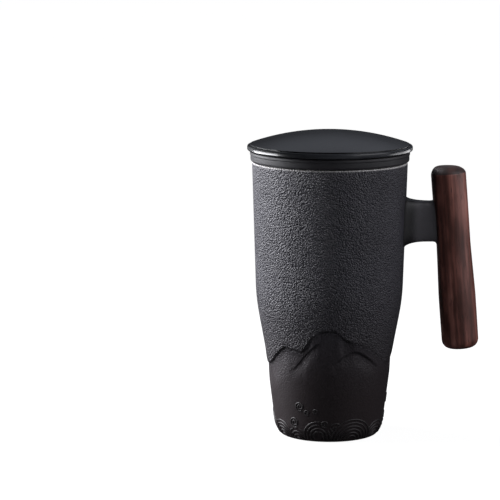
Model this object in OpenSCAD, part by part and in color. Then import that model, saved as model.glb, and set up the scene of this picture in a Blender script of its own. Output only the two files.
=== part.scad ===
// Lidded tea mug with a lift-out infuser and a wooden side grip.
// Millimetres, +Z up. The origin is the centre of the foot ring, on the table.
// The grip is on the +X side, and the relief faces -Y.

/* [Mug body] */
// Height of the lip above the table
mug_h = 143.5; // [130:0.5:160]
// Outer diameter at the lip
lip_d = 81; // [76:0.1:90]
// Height of the bend where the upper wall turns in
shoulder_z = 71.6; // [64:0.1:80]
// Outer diameter at that bend
shoulder_d = 76.6; // [72:0.1:80]
// Height of the bend where the lower wall begins
waist_z = 45.8; // [38:0.1:52]
// Outer diameter at that bend
waist_d = 67; // [62:0.1:72]
// Height of the heel, where the lower wall turns in to the foot
heel_z = 5.4; // [4:0.1:9]
// Outer diameter at the heel
heel_d = 56.7; // [53:0.1:60]
// Radius of the heel's soft bend
heel_round = 13.7; // [6:0.1:15]
// Outer diameter of the foot at the table
foot_d = 51; // [46:0.1:53]
// Radius of the rounded edge at the foot
foot_round = 2; // [1:0.1:3]
// Thickness of the wall
wall = 3.6; // [3:0.1:5]
// Thickness of the floor above the recess
floor_t = 5; // [3:0.1:8]
// Radius of the rounded corner between floor and wall, inside
floor_round = 7; // [3:0.1:10]
// Width of the unglazed ring that the mug stands on
foot_ring_w = 4; // [2:0.1:6]
// Depth of the recess inside the foot ring
foot_recess = 1.8; // [1:0.1:3]
// Radius of the lip's rounded edges
lip_round = 1; // [0.4:0.1:1.4]

/* [Lug] */
// Drop from the lip to the middle of the lug
lug_drop = 30.9; // [26:0.1:38]
// Height of the lug between its blends
lug_h = 21.3; // [16:0.1:24]
// Thickness of the lug between its blends
lug_t = 11; // [9:0.1:13]
// Length of the blend between the wall and the lug
lug_blend = 12; // [6:0.1:14]
// How far the blend spreads upwards on the wall
lug_spread_up = 2.2; // [1:0.1:5]
// How far the blend spreads downwards on the wall
lug_spread_down = 3; // [1:0.1:6]
// How far the blend spreads to each side on the wall
lug_spread_side = 4; // [2:0.1:6]
// Height of the tenon that enters the grip
tenon_h = 13; // [9:0.1:14]
// Thickness of the tenon
tenon_t = 6.4; // [5:0.1:8]
// How far the tenon reaches past the grip's centre line
tenon_past = 1.5; // [0:0.1:4]

/* [Grip] */
// Gap for the fingers between the wall and the grip, beside the lug
finger_gap = 15.2; // [11:0.1:22]
// Length of the grip
grip_len = 96.2; // [85:0.1:110]
// Length of the grip above the middle of the lug
grip_above = 29; // [22:0.1:36]
// Lean of the grip, lower end outwards, in degrees
grip_tilt = 4.7; // [0:0.1:8]
// Diameter of the grip's lower end
grip_end_d = 19.3; // [17:0.1:22]
// Length of the fuller lower end
grip_end_len = 29; // [20:0.5:34]
// Diameter of the grip's slimmest stretch
grip_neck_d = 17.9; // [16:0.1:20]
// Height of the slimmest stretch above the lower end
grip_neck_len = 55; // [44:0.5:60]
// Diameter of the grip's upper end
grip_top_d = 18.2; // [16.5:0.1:21]
// Radius of the rounded lower edge
grip_end_round = 4.6; // [2:0.1:6]
// Radius of the rounded upper edge
grip_top_round = 3.8; // [1:0.1:4.5]
// Thickness of the glue bed around the tenon
glue_t = 0.3; // [0.2:0.05:0.6]

/* [Infuser] */
// Height of the visible rim
rim_h = 5.7; // [3.5:0.1:8]
// How far the rim stands out past the mug's lip
rim_over = 1.1; // [0.5:0.1:3]
// Radius of the rim's rounded edges
rim_round = 1.3; // [0.4:0.1:1.6]
// Depth of the basket below the mug's lip
basket_depth = 72; // [50:0.5:90]
// Thickness of the basket's wall and floor
basket_wall = 2.6; // [2:0.1:3.5]
// Clearance between the top of the basket and the mug's mouth
basket_play = 0.5; // [0.3:0.05:1]
// Gap between the bottom of the basket and the mug's wall
basket_gap = 3; // [1:0.1:6]
// Radius of the basket's lower edge, outside
basket_round = 9; // [5:0.1:14]
// Diameter of the strainer holes
hole_d = 2; // [1.2:0.1:2.6]
// Rows of holes in the wall
hole_rows = 5; // [1:1:7]
// Holes in each row
holes_per_row = 20; // [8:1:26]
// Distance from one row to the next
row_pitch = 6.5; // [4:0.1:9]
// Rings of holes in the floor
floor_rings = 3; // [1:1:4]
// Distance from one ring to the next
ring_pitch = 6; // [3.5:0.1:6.5]

/* [Lid] */
// How far the lid stands out past the infuser's rim
lid_over = 1.4; // [0.5:0.1:3]
// Height of the lid's upright edge
edge_h = 3.4; // [2.8:0.1:7]
// Radius of the edge's rounded corners
edge_round = 1.2; // [0.4:0.1:1.3]
// How far the dome is set in from the edge
dome_set = 1.6; // [1.3:0.1:3]
// Height of the step between the edge and the dome
step_h = 0.6; // [0.4:0.1:1.2]
// Rise of the dome above the step
dome_rise = 6.7; // [3:0.1:12]
// Thickness of the dome at its centre
dome_t = 5; // [3:0.1:7]
// Height of the ring that locates the lid in the basket
plug_h = 5; // [3:0.1:9]
// Thickness of that ring
plug_t = 3; // [2:0.1:4]
// Clearance between that ring and the basket's mouth
plug_play = 0.6; // [0.3:0.05:1.2]

/* [Hidden] */
$fn = 144;

// Steps in each rounded corner, and in the dome's arc
corner_steps = 8;
dome_steps = 32;
// Blend radii of the gentle bends in the mug's wall and the grip
shoulder_blend = 110;
waist_blend = 90;
grip_blend = 200;
// Stations along the lug's blend, and points around each of its sections
lug_stations = 7;
lug_points = 32;
// Exponent of the lug's rounded section: 2 is an ellipse, and more is squarer
lug_squareness = 5;
// How deep the lug starts in the wall, and how deep its blend starts
root_depth = wall * 2 / 3;
blend_depth = 0.3;
// Angle at which the blend's quarter ellipse leaves the wall
blend_start = 20;
// Gap between the lug's hollowed end and the round grip
cope_gap = 0.2;

// Radius of the mug's outer wall at a height, without the blends
wall_line = [
    [0, foot_d / 2],
    [heel_z, heel_d / 2],
    [waist_z, waist_d / 2],
    [shoulder_z, shoulder_d / 2],
    [mug_h, lip_d / 2]];
function outer_r(z) = lookup(z, wall_line);
function inner_r(z) = outer_r(z) - wall;

floor_z = foot_recess + floor_t;
lug_z = mug_h - lug_drop;
lug_foot_x = outer_r(lug_z);

// Radius of the grip at a height above its lower end
grip_line = [
    [grip_end_len, grip_end_d / 2],
    [grip_neck_len, grip_neck_d / 2],
    [grip_len, grip_top_d / 2]];
function grip_r(s) = lookup(s, grip_line);
grip_below = grip_len - grip_above;
grip_x = lug_foot_x + finger_gap + grip_r(grip_below);

rim_r = lip_d / 2 + rim_over;
rim_top = mug_h + rim_h;
basket_z = mug_h - basket_depth;
basket_top_r = lip_d / 2 - wall - basket_play;
basket_end_r = inner_r(basket_z) - basket_gap;
mouth_r = basket_top_r - basket_wall;
basket_line = [[basket_z, basket_end_r], [mug_h, basket_top_r]];

lid_r = rim_r + lid_over;
dome_r = lid_r - dome_set;
edge_top = rim_top + edge_h;
apex_z = edge_top + step_h + dome_rise;
plug_r = mouth_r - plug_play;
plug_in_r = plug_r - plug_t;

// Arc of radius r that rounds the corner b between its neighbours a and c
function corner_arc(a, b, c, r) =
    let (u = (a - b) / norm(a - b),
         v = (c - b) / norm(c - b),
         half = acos(max(-1, min(1, u * v))) / 2,
         turn = 180 - 2 * half,
         centre = b + (u + v) / norm(u + v) * r / sin(half),
         from = b + u * r / tan(half) - centre,
         to = b + v * r / tan(half) - centre)
    [for (i = [0:corner_steps])
        let (t = i / corner_steps)
        centre + (sin((1 - t) * turn) * from + sin(t * turn) * to) / sin(turn)];

// Closed outline through corners of [x, y, radius], where a radius of 0 is a sharp corner
function rounded(corners) =
    let (n = len(corners))
    [for (i = [0:n - 1])
        let (at = function(k) [corners[(k + n) % n].x, corners[(k + n) % n].y])
        each corners[i].z > 0 ? corner_arc(at(i - 1), at(i), at(i + 1), corners[i].z) : [at(i)]];

// Points of a shallow dome from its rim at radius r to its top, with the given rise and top height
function dome_arc(r, rise, top) =
    let (ball = (r * r + rise * rise) / (2 * rise),
         spread = asin(r / ball))
    [for (i = [1:dome_steps])
        let (a = spread * (1 - i / dome_steps))
        [ball * sin(a), top - ball * (1 - cos(a))]];

module grip_blank(grow = 0) {
    translate([grip_x, 0, lug_z])
        rotate([0, -grip_tilt, 0])
            translate([0, 0, -grip_below])
                rotate_extrude()
                    polygon(rounded([
                        [0, -grow, 0],
                        [grip_end_d / 2 + grow, -grow, grip_end_round],
                        [grip_end_d / 2 + grow, grip_end_len, grip_blend],
                        [grip_neck_d / 2 + grow, grip_neck_len, grip_blend],
                        [grip_top_d / 2 + grow, grip_len + grow, grip_top_round],
                        [0, grip_len + grow, 0]]));
}

module tenon(grow = 0) {
    start = lug_foot_x + finger_gap / 2;
    end = grip_x + tenon_past + grow;
    translate([start, -tenon_t / 2 - grow, lug_z - tenon_h / 2 - grow])
        cube([end - start, tenon_t + 2 * grow, tenon_h + 2 * grow]);
}

// One section of the lug: a squared ellipse spread by the blend's share. A section that hugs the wall
// is measured from the wall, and one that doesn't is flat
function lug_section(x, share, hugs = false) =
    let (top = lug_h / 2 + lug_spread_up * share,
         low = lug_h / 2 + lug_spread_down * share,
         half = lug_t / 2 + lug_spread_side * share,
         middle = lug_z + (top - low) / 2,
         power = 2 / lug_squareness)
    [for (i = [0:lug_points - 1])
        let (a = 360 * (i + 0.5) / lug_points,
             y = half * sign(cos(a)) * pow(abs(cos(a)), power),
             z = middle + (top + low) / 2 * sign(sin(a)) * pow(abs(sin(a)), power))
        [hugs ? sqrt(pow(outer_r(z), 2) - y * y) + x : x, y, z]];

module lug_loft() {
    blend = [for (i = [0:lug_stations])
        let (a = blend_start + (90 - blend_start) * i / lug_stations)
        lug_section(lug_blend * (cos(blend_start) - cos(a)) - blend_depth, 1 - sin(a), true)];
    root = lug_section(lug_foot_x - root_depth, 1 - sin(blend_start));
    sections = concat([root], blend, [lug_section(grip_x, 0)]);
    last = len(sections) - 1;
    points = [for (s = sections) each s];
    sides = [for (k = [0:last - 1], i = [0:lug_points - 1])
        let (j = (i + 1) % lug_points, a = k * lug_points, b = a + lug_points)
        each [[a + i, b + i, b + j], [a + i, b + j, a + j]]];
    root_cap = [[for (i = [0:lug_points - 1]) i]];
    end_cap = [[for (i = [lug_points - 1:-1:0]) last * lug_points + i]];
    polyhedron(points, concat(sides, root_cap, end_cap), convexity = 4);
}

module mug_body() {
    ring_in = foot_d / 2 - foot_round - foot_ring_w;
    color([0.13, 0.13, 0.14]) {
        rotate_extrude()
            polygon(rounded([
                [foot_d / 2, 0, foot_round],
                [heel_d / 2, heel_z, heel_round],
                [waist_d / 2, waist_z, waist_blend],
                [shoulder_d / 2, shoulder_z, shoulder_blend],
                [lip_d / 2, mug_h, lip_round],
                [lip_d / 2 - wall, mug_h, lip_round],
                [shoulder_d / 2 - wall, shoulder_z, shoulder_blend],
                [waist_d / 2 - wall, waist_z, waist_blend],
                [inner_r(floor_z), floor_z, floor_round],
                [0, floor_z, 0],
                [0, foot_recess, 0],
                [ring_in, foot_recess, foot_recess / 2],
                [ring_in, 0, foot_recess / 3]]));
        difference() {
            lug_loft();
            grip_blank(cope_gap);
        }
        tenon();
    }
}

module wooden_grip() {
    color([0.23, 0.13, 0.1])
        difference() {
            grip_blank();
            tenon(glue_t);
        }
}

module grip_adhesive() {
    color([0.72, 0.62, 0.4])
        difference() {
            intersection() {
                tenon(glue_t);
                grip_blank();
            }
            tenon();
        }
}

module strainer_holes() {
    floor_top = basket_z + basket_wall;
    first_row = basket_z + basket_round + hole_d;
    for (row = [0:hole_rows - 1], k = [0:holes_per_row - 1])
        let (z = first_row + row * row_pitch)
            rotate([0, 0, 360 * (k + (row % 2) / 2) / holes_per_row])
                translate([lookup(z, basket_line), 0, z])
                    rotate([0, 90, 0])
                        cylinder(d = hole_d, h = 4 * basket_wall, center = true);
    translate([0, 0, floor_top])
        cylinder(d = hole_d, h = 4 * basket_wall, center = true);
    for (ring = [1:floor_rings], k = [0:6 * ring - 1])
        rotate([0, 0, 60 * k / ring])
            translate([ring * ring_pitch, 0, floor_top])
                cylinder(d = hole_d, h = 4 * basket_wall, center = true);
}

module infuser_basket() {
    color([0.14, 0.14, 0.15])
        difference() {
            rotate_extrude()
                polygon(rounded([
                    [0, basket_z, 0],
                    [basket_end_r, basket_z, basket_round],
                    [basket_top_r, mug_h, 0],
                    [rim_r, mug_h, rim_round],
                    [rim_r, rim_top, rim_round],
                    [mouth_r, rim_top, rim_round],
                    [basket_end_r - basket_wall, basket_z + basket_wall, basket_round - basket_wall],
                    [0, basket_z + basket_wall, 0]]));
            strainer_holes();
        }
}

module domed_lid() {
    hollow_rise = dome_rise * pow(plug_in_r / dome_r, 2);
    hollow_top = apex_z - dome_t;
    dome = dome_arc(dome_r, dome_rise, apex_z);
    hollow = dome_arc(plug_in_r, hollow_rise, hollow_top);
    color([0.15, 0.16, 0.17])
        rotate_extrude()
            polygon(concat(
                rounded([
                    [plug_in_r, hollow_top - hollow_rise, 0],
                    [plug_in_r, rim_top - plug_h, edge_round],
                    [plug_r, rim_top - plug_h, edge_round],
                    [plug_r, rim_top, 0],
                    [lid_r, rim_top, edge_round],
                    [lid_r, edge_top, edge_round],
                    [dome_r, edge_top, 0],
                    [dome_r, edge_top + step_h, step_h * 0.7],
                    [dome[0].x, dome[0].y, 0]]),
                [for (i = [1:dome_steps - 1]) dome[i]],
                [for (i = [dome_steps - 1:-1:0]) hollow[i]]));
}

mug_body();
wooden_grip();
grip_adhesive();
infuser_basket();
domed_lid();
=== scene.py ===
# %% [markdown]
# # A lidded tea mug with an infuser and a wooden grip
#
# The construction comes in as a fixed frame: a stoneware mug with a side lug, a wooden grip glued to that
# lug, a strainer basket that hangs in the mug, and a domed lid on the basket's rim. This lesson gives
# each of them its finished shape and surface. Every piece is built in the frame's own place and rides on
# the body that carries it.

# %% Load the frame
import math

import bpy
import numpy as np
from mathutils import Matrix, Vector


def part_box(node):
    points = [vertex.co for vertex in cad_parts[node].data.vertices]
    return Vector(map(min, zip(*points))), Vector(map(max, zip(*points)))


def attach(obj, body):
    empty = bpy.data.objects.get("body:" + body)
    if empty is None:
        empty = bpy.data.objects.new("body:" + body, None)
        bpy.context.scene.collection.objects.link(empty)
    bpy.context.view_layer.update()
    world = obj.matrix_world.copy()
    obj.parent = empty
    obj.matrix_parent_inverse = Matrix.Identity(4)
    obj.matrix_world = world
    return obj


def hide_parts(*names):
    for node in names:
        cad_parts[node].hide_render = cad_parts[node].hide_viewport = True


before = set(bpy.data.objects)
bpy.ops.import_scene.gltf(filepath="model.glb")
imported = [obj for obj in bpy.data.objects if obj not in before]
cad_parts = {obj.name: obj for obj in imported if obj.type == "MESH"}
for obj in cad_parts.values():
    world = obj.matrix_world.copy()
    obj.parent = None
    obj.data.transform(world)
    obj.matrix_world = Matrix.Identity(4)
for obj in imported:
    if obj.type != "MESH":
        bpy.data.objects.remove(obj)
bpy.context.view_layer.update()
MM = 0.001

# %% [markdown]
# Node trees are graphs of sockets, and long sums of them are hard to read as links. A small wrapper
# helps: it holds one output socket, and arithmetic on it adds the Math nodes. Every other node comes from
# one method, which takes the node's type, its settings, and the values or links of its sockets.


# %% Wires that do arithmetic
class Wire:
    """One output socket of a node. Arithmetic on it adds Math nodes."""

    def __init__(self, bench, node, output=0):
        self.bench = bench
        self.node = node
        self.socket = node.outputs[output] if node.outputs else None

    def out(self, output):
        return Wire(self.bench, self.node, output)

    def math(self, operation, *values):
        return self.bench.node("ShaderNodeMath", dict(enumerate(values)), operation=operation)

    def __add__(self, other):
        return self.math("ADD", self, other)

    def __sub__(self, other):
        return self.math("SUBTRACT", self, other)

    def __rsub__(self, other):
        return self.math("SUBTRACT", other, self)

    def __mul__(self, other):
        return self.math("MULTIPLY", self, other)

    def __truediv__(self, other):
        return self.math("DIVIDE", self, other)

    __radd__ = __add__
    __rmul__ = __mul__

    def ease(self, low, high):
        """0 below low and 1 above high, with a smooth ramp between them."""
        sockets = {"Value": self, "From Min": low, "From Max": high}
        return self.bench.node("ShaderNodeMapRange", sockets, interpolation_type="SMOOTHSTEP")

    def mix(self, first, second):
        """Mixes two colours on a Mix node's colour sockets, 6 and 7: Math would turn them grey."""
        first, second = [c if isinstance(c, Wire) else (*c, 1.0) for c in (first, second)]
        return self.bench.node("ShaderNodeMix", {0: self, 6: first, 7: second}, 2, data_type="RGBA")


print("wires ready")


# %% A bench for node trees
class Bench:
    """Builds one node tree, node by node."""

    def __init__(self, tree):
        self.tree = tree
        tree.nodes.clear()

    def node(self, kind, sockets=None, output=0, **settings):
        made = self.tree.nodes.new(kind)
        for name, value in settings.items():
            if name == "stops":
                self.set_stops(made.color_ramp, value)
            else:
                setattr(made, name, value)
        for key, value in (sockets or {}).items():
            if isinstance(value, Wire):
                self.tree.links.new(value.socket, made.inputs[key])
            else:
                made.inputs[key].default_value = value
        return Wire(self, made, output)

    def set_stops(self, ramp, stops):
        while len(ramp.elements) < len(stops):
            ramp.elements.new(1.0)
        for element, (place, colour) in zip(ramp.elements, stops):
            element.position = place
            element.color = (*colour, 1.0)


print("bench ready")

# %% [markdown]
# The camera is a long lens a little above the lid, placed from the ellipses of the lid, the rims and the
# foot, so that a render can be laid over the photograph. The mug stands right of the middle with its
# upright edges still upright, so the lens is shifted sideways instead of turned. It is also rolled by a
# third of a degree. The focal length is in pixels of a 500-pixel picture.

# %% Camera
PICTURE_PX = 500
FOCAL_PX = 2400
SHIFT_PX = (-79.5, 0.5)
EYE = Vector((0.0, -1.2392, 0.2915))
PITCH = 0.1559
ROLL = 0.0051

scene = bpy.context.scene
camera_data = bpy.data.cameras.new("long_lens")
camera_data.lens = FOCAL_PX * camera_data.sensor_width / PICTURE_PX
camera_data.shift_x, camera_data.shift_y = [px / PICTURE_PX for px in SHIFT_PX]
camera = bpy.data.objects.new("long_lens", camera_data)
camera.location = EYE
look = Matrix.Rotation(math.pi / 2 - PITCH, 3, "X") @ Matrix.Rotation(ROLL, 3, "Z")
camera.rotation_euler = look.to_euler()
scene.collection.objects.link(camera)
scene.camera = camera
scene.view_settings.view_transform = "Standard"
print("lens, mm:", round(camera_data.lens, 1))

# %% [markdown]
# Dark glazed ware is lit by what it reflects. A tall soft box stands close on the left, like a window,
# and two weaker ones on the right. Dark cards, which only reflections see, keep the white room out of the
# glaze, as a studio does with flags. The card behind gets paler upwards, for the lid, and a pale one on
# the left edges the mug with light. The lid's flat top would mirror the left box and the rim box as white
# patches, so light linking keeps them off it and gives it two low bright cards for its edge. The world is
# white to the camera, to reflections and through glass, and a dim grey to all other rays. The floor is
# grey paint that also glows for the first three, so it looks white and keeps the mug's shadow.

# %% Studio sizes and tints
FLOOR_DROP, FLOOR_HALF = 0.0002, 8.0
FLOOR_PAINT = (0.20, 0.20, 0.20, 1.0)
FLOOR_GLOW = 0.94
GLOW_FROM, GLOW_TO = 0.12, 0.55
ROOM_TINT, ROOM_LIGHT = (0.96, 0.98, 1.0, 1.0), 0.02
LAMP_TINT = (0.955, 0.955, 1.0)
CARD_TOP = 1.5
LOW_CARD = (0.045, 0.12)
PALER_FROM, PALER_TO, BACK_RISE = 0.3, 1.1, 8.0
DARK = (0.02, 0.02, 0.023)
DIM = (0.042, 0.044, 0.050)
PALE = (0.55, 0.57, 0.60)
WINDOW_GLOW = (24.0, 24.0, 25.0)
RIM_GLOW = (4.0, 4.0, 4.1)
print("card height, m:", CARD_TOP)


# %% World
def new_object(name, data):
    made = bpy.data.objects.new(name, data)
    scene.collection.objects.link(made)
    return made


def seen_rays(bench):
    """1 for the rays that show the background: from the camera, off gloss, and through glass."""
    path = bench.node("ShaderNodeLightPath")
    both = path.math("MAXIMUM", path.out("Is Camera Ray"), path.out("Is Glossy Ray"))
    return path.math("MAXIMUM", both, path.out("Is Transmission Ray"))


def make_world():
    world = bpy.data.worlds.new("white_room")
    world.use_nodes = True
    bench = Bench(world.node_tree)
    soft = bench.node("ShaderNodeBackground", {"Color": ROOM_TINT, "Strength": ROOM_LIGHT})
    white = bench.node("ShaderNodeBackground", {"Color": (1.0, 1.0, 1.0, 1.0), "Strength": 1.0})
    shown = bench.node("ShaderNodeMixShader", {0: seen_rays(bench), 1: soft, 2: white})
    bench.node("ShaderNodeOutputWorld", {"Surface": shown})
    scene.world = world


make_world()
print("world:", scene.world.name)


# %% Cards and floor
def new_material(name):
    material = bpy.data.materials.new(name)
    material.use_nodes = True
    return material, Bench(material.node_tree)


def plain_mesh(name, points, edges=(), faces=()):
    mesh = bpy.data.meshes.new(name)
    mesh.from_pydata(points, edges, faces)
    return mesh


def card(name, corners, material):
    """A flat four-cornered sheet of the stage."""
    mesh = plain_mesh(name, corners, faces=[(0, 1, 2, 3)])
    mesh.materials.append(material)
    sheet = new_object(name, mesh)
    return sheet


def level_square(half, z):
    """Corners of a level square card."""
    return [(-half, -half, z), (half, -half, z), (half, half, z), (-half, half, z)]


def standing(start, end, low=0.0, high=CARD_TOP):
    """Corners of a card that stands on the line from start to end."""
    return [(*start, low), (*end, low), (*end, high), (*start, high)]


def make_floor():
    material, bench = new_material("white_floor")
    place = bench.node("ShaderNodeTexCoord", output="Object")
    reach = bench.node("ShaderNodeVectorMath", {0: place}, "Value", operation="LENGTH")
    glow = FLOOR_GLOW + (1 - FLOOR_GLOW) * reach.ease(GLOW_FROM, GLOW_TO)
    paint = bench.node("ShaderNodeBsdfDiffuse", {"Color": FLOOR_PAINT})
    lamp = bench.node("ShaderNodeEmission", {"Strength": glow * seen_rays(bench)})
    both = bench.node("ShaderNodeAddShader", {0: paint, 1: lamp})
    bench.node("ShaderNodeOutputMaterial", {"Surface": both})
    card("floor", level_square(FLOOR_HALF, -FLOOR_DROP), material)


make_floor()
print("floor, m across:", 2 * FLOOR_HALF)


# %% Flags
def make_flag(name, colour, corners, rise=0.0):
    """A card that only reflections see. A rise makes it paler towards its top."""
    material, bench = new_material(name)
    place = bench.node("ShaderNodeTexCoord", output="Object")
    height = bench.node("ShaderNodeSeparateXYZ", {0: place}).out("Z")
    strength = 1 + rise * height.ease(PALER_FROM, PALER_TO)
    lamp = bench.node("ShaderNodeEmission", {"Color": (*colour, 1.0), "Strength": strength})
    bench.node("ShaderNodeOutputMaterial", {"Surface": lamp})
    flag = card(name, corners, material)
    for ray in ("camera", "diffuse", "shadow", "transmission"):
        setattr(flag, "visible_" + ray, False)
    return flag


make_flag("front_flag", DARK, standing((-1, -1), (1, -1)))
make_flag("left_flag", DARK, standing((-1, -1), (-1, 0.3)))
make_flag("right_flag", DARK, standing((1, -1), (1, 1)))
make_flag("back_flag", DIM, standing((-1, 1), (1, 1)), BACK_RISE)
make_flag("pale_card", PALE, standing((-1, 0.3), (-0.4, 0.95)))
low_window = make_flag("low_window", WINDOW_GLOW, standing((-0.32, -0.09), (-0.27, 0.17), *LOW_CARD))
low_rim = make_flag("low_rim", RIM_GLOW, standing((0.32, 0.0), (0.26, 0.35), *LOW_CARD))
make_flag("top_flag", DARK, level_square(1, CARD_TOP))
make_flag("table_flag", DARK, level_square(1, -FLOOR_DROP / 2))
print("flags ready")


# %% Lamps
def soft_box(name, place, target, size, watts):
    data = bpy.data.lights.new(name, "AREA")
    data.shape = "RECTANGLE"
    data.size, data.size_y = size
    data.energy = watts
    data.color = LAMP_TINT
    lamp = new_object(name, data)
    lamp.location = place
    lamp.rotation_euler = (Vector(target) - Vector(place)).to_track_quat("-Z", "Y").to_euler()
    return lamp


left_lamp = soft_box("left_box", (-0.29, 0.06, 0.26), target=(0, 0, 0.18), size=(0.30, 0.50), watts=4.7)
soft_box("right_box", (0.50, -0.30, 0.42), target=(0.03, 0, 0.1), size=(0.6, 0.6), watts=2.1)
rim_lamp = soft_box("rim_box", (0.60, 0.05, 0.24), target=(0.03, 0, 0.1), size=(0.3, 0.3), watts=0.6)
print("lamps ready")

# %% [markdown]
# Turned and cast ware is drawn as a profile and spun about an axis. The profile is a short list of
# corners, each with its rounding, and the rounding is an arc worked out from the two neighbours. A skin
# of quads then runs over a stack of rings, and a fan closes each end. Spinning by hand, instead of with a
# modifier, leaves every ring free to bend, which the carved hills need.


# %% Profiles
ARC_STEPS = 8


def corner_arc(before, corner, after, radius, steps):
    u, v = [(x - corner) / np.linalg.norm(x - corner) for x in (before, after)]
    half = math.acos(np.clip(u @ v, -1.0, 1.0)) / 2
    turn = math.pi - 2 * half
    centre = corner + (u + v) / np.linalg.norm(u + v) * radius / math.sin(half)
    start, end = [corner + x * radius / math.tan(half) - centre for x in (u, v)]
    t = np.linspace(0, 1, steps + 1)[:, None]
    return centre + (np.sin((1 - t) * turn) * start + np.sin(t * turn) * end) / math.sin(turn)


def rounded(corners, steps=ARC_STEPS):
    """A path through corners of (radius from the axis, height, rounding). Its two ends stay sharp."""
    places = np.array([corner[:2] for corner in corners], float)
    path = [places[:1]]
    for i in range(1, len(corners) - 1):
        rounding = corners[i][2]
        if rounding:
            path.append(corner_arc(places[i - 1], places[i], places[i + 1], rounding, steps))
        else:
            path.append(places[i:i + 1])
    path.append(places[-1:])
    return np.concatenate(path)


def filled(path, step):
    """The same path with more points, so that none are further apart than step."""
    pieces = [path[:1]]
    for a, b in zip(path[:-1], path[1:]):
        count = max(1, math.ceil(np.linalg.norm(b - a) / step))
        pieces.append(a + (b - a) * (np.arange(1, count + 1) / count)[:, None])
    return np.concatenate(pieces)


def dome_path(rim_r, rise, top, steps):
    """Points of a shallow spherical dome, from its top to its rim."""
    ball = (rim_r ** 2 + rise ** 2) / (2 * rise)
    a = np.linspace(0, math.asin(rim_r / ball), steps + 1)
    return np.stack([ball * np.sin(a), top - ball * (1 - np.cos(a))], axis=1)


print("profiles ready, steps in an arc:", ARC_STEPS)


# %% Skins
def spun(r, z, columns):
    """Rings about the Z axis. Angle 0 faces -Y, the photograph's side, and angles grow towards +X."""
    angle = np.linspace(0, 2 * math.pi, columns, endpoint=False)
    r, z = [np.broadcast_to(np.reshape(x, (len(x), -1)), (len(x), columns)) for x in (r, z)]
    return np.stack([r * np.sin(angle), -r * np.cos(angle), z], axis=2)


def skin(name, rings, first_pole=None, last_pole=None):
    """A mesh over a stack of rings, in millimetres. A pole closes its end with a fan."""
    rows, columns, _ = rings.shape
    index = np.arange(rows * columns).reshape(rows, columns)
    after = np.roll(index, -1, axis=1)
    quads = np.stack([index[:-1], after[:-1], after[1:], index[1:]], axis=2).reshape(-1, 4).tolist()
    points = rings.reshape(-1, 3).tolist()
    for pole, ring, follow in ((first_pole, after[0], index[0]), (last_pole, index[-1], after[-1])):
        if pole is not None:
            quads += [(a, b, len(points)) for a, b in zip(ring.tolist(), follow.tolist())]
            points.append(tuple(pole))
    mesh = plain_mesh(name, (np.array(points) * MM).tolist(), faces=quads)
    mesh.shade_smooth()
    return mesh


def spun_solid(name, path, columns):
    """A closed solid of revolution. The path starts and ends on the axis."""
    rings = spun(path[1:-1, 0], path[1:-1, 1], columns)
    return skin(name, rings, (0, 0, path[0, 1]), (0, 0, path[-1, 1]))


def dress(piece, body, slot, material, *nodes):
    """Gives a piece its finish, sets it on its body and hides the CAD nodes that it stands for."""
    if material.name not in piece.data.materials:
        piece.data.materials.append(material)
    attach(piece, body)
    if nodes:
        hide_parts(*nodes)
    print(piece.name, "faces:", len(piece.data.polygons))


print("skins ready")

# %% [markdown]
# Matte black stoneware looks flat unless its glaze has grain. Outside, the mug has a leather-like pebble
# about a millimetre across, which fades below the hills and around the smooth lug. It is finer than any
# mesh should be, so it is a bump of packed Voronoi grains, with seams rougher than the crests; the seams
# are painted darker as shade and the crests lighter as a highlight. The glaze shifts a little in colour
# from place to place, and is painted darker as shade towards the foot. It thins to a pale line along the
# lip, which a painted highlight makes brighter still. Painted shade darkens the carved lines, the lid's
# groove and the lug's root, where shadow falls. Those places come with the mesh, as attributes.

# %% Finish helpers
NOISE_MIDDLE = (0.3, 0.7)


def object_mm(bench):
    """Object coordinates in millimetres."""
    place = bench.node("ShaderNodeTexCoord", output="Object")
    return bench.node("ShaderNodeVectorMath", {0: place, "Scale": 1 / MM}, operation="SCALE")


def noise(place, size_mm, detail=2.0, roughness=0.5):
    sockets = {"Vector": place, "Scale": 1 / size_mm, "Detail": detail, "Roughness": roughness}
    return place.bench.node("ShaderNodeTexNoise", sockets, "Fac")


def attribute(bench, name):
    return bench.node("ShaderNodeAttribute", output="Fac", attribute_name=name)


def finish_surface(bench, colour, roughness, height, depth_mm, specular=0.5):
    """A Principled surface with a bump."""
    bump = bench.node("ShaderNodeBump", {"Height": height, "Distance": depth_mm * MM})
    surface = bench.node("ShaderNodeBsdfPrincipled", {
        "Base Color": colour, "Roughness": roughness, "Normal": bump, "Specular IOR Level": specular})
    bench.node("ShaderNodeOutputMaterial", {"Surface": surface})


print("middle of a noise:", *NOISE_MIDDLE)

# %% Pebbled stoneware
PEBBLE_MM, PEBBLE_DEPTH_MM = 0.8, 0.70
WANDER_MM, WANDER_SCALE = 0.4, 1.3
UPPER_DARK, UPPER_LIGHT = (0.035, 0.034, 0.043), (0.047, 0.046, 0.057)
# The lower colour is the glaze painted darker as shade towards the foot
LOWER_SHADED = (0.022, 0.0155, 0.0165)
# Seam and crest colours: painted shade in the grains' seams and a painted highlight on their crests
SEAM_SHADE, CREST_HIGHLIGHT = (0.013, 0.0125, 0.015), (0.066, 0.065, 0.073)
# The carved colour is painted shade below each carved step
CARVED_SHADE = (0.008, 0.0075, 0.008)
# The lip's pale colour is partly glaze worn thin on the edge and partly a painted highlight
LIP_LINE = (0.85, 0.83, 0.82)
BARE_CLAY = (0.085, 0.068, 0.056)
LUG_FADE, LOWER_FADE = (13.0, 18.0), (20.0, 90.0)
DRIFT_MM, UNEVEN_MM = 14.0, 6.0


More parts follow.
